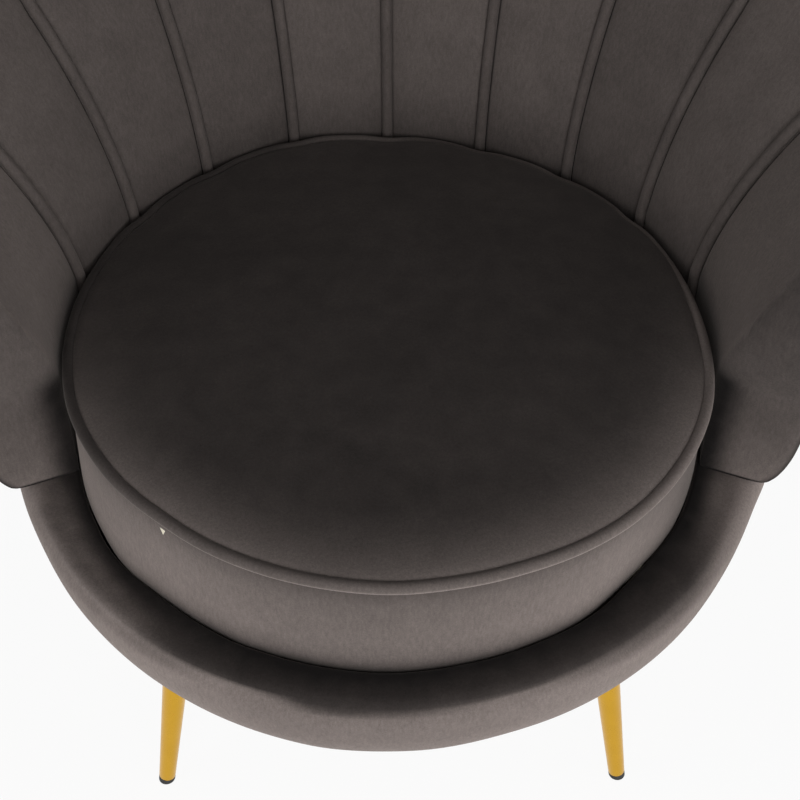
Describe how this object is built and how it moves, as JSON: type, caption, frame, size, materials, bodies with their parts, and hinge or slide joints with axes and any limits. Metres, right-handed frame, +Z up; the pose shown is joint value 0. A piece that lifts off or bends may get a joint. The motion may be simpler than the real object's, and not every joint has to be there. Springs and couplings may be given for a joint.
{
  "type": "scallop back chair",
  "caption": "Low round tub armchair with a shell-shaped channelled back, loose round piped cushion and splayed metal legs.",
  "frame": {"origin": "on the floor, under the middle of the chair's outline", "axes": "+Z up, -Y to the front where the sitter's knees go, +X to the right seen from the front, across the chair's plane of symmetry"},
  "size_m": [0.774, 0.7072, 0.7781],
  "materials": {
    "velvet": "matte",
    "piping": "matte",
    "foam": "matte",
    "plywood": "matte",
    "webbing": "matte",
    "black_cloth": "matte",
    "gold_metal": "satin",
    "steel": "satin",
    "black_plastic": "matte"
  },
  "bodies": {
    "chair_frame": {"base_cover": "velvet", "inside_back_cover": "velvet", "outside_back_cover": "velvet", "back_piping_1": "piping", "back_piping_2": "piping", "back_piping_3": "piping", "back_piping_4": "piping", "back_piping_5": "piping", "back_piping_6": "piping", "back_piping_7": "piping", "back_piping_8": "piping", "back_piping_9": "piping", "base_rim_foam": "foam", "deck_foam": "foam", "channel_foam_1": "foam", "channel_foam_2": "foam", "channel_foam_3": "foam", "channel_foam_4": "foam", "channel_foam_5": "foam", "channel_foam_6": "foam", "channel_foam_7": "foam", "channel_foam_8": "foam", "channel_foam_9": "foam", "channel_foam_10": "foam", "base_bottom_ring": "plywood", "base_hoop": "plywood", "base_top_ring": "plywood", "back_wooden_shell": "plywood", "back_bottom_rail": "plywood", "webbing_lengthwise_1": "webbing", "webbing_lengthwise_2": "webbing", "webbing_lengthwise_3": "webbing", "webbing_crosswise_1": "webbing", "webbing_crosswise_2": "webbing", "webbing_crosswise_3": "webbing", "dust_cover": "black_cloth", "deck_cloth": "black_cloth", "leg_front_right": "gold_metal", "leg_front_left": "gold_metal", "leg_back_right": "gold_metal", "leg_back_left": "gold_metal", "leg_plate_front_right": "steel", "leg_plate_front_left": "steel", "leg_plate_back_right": "steel", "leg_plate_back_left": "steel", "back_bolt_1": "steel", "back_bolt_2": "steel", "back_bolt_3": "steel", "back_bolt_4": "steel", "foot_glide_front_right": "black_plastic", "foot_glide_front_left": "black_plastic", "foot_glide_back_right": "black_plastic", "foot_glide_back_left": "black_plastic"},
    "seat_cushion": {"cushion_cover": "velvet", "cushion_foam": "foam", "cushion_piping_top": "piping", "cushion_piping_bottom": "piping", "zip_chain": "black_cloth"},
    "zip_slider": {"zip_slider": "steel"}
  },
  "joints": [
    {"name": "cushion_lift", "type": "slide", "parent": "chair_frame", "child": "seat_cushion", "axis": [0, 0, 1], "range_m": [0, 0.5]},
    {"name": "zip_travel", "type": "hinge", "parent": "seat_cushion", "child": "zip_slider", "pos_m": [0, -0.04356, 0.38], "axis": [0, 0, 1], "range_deg": [0, 124]}
  ]
}
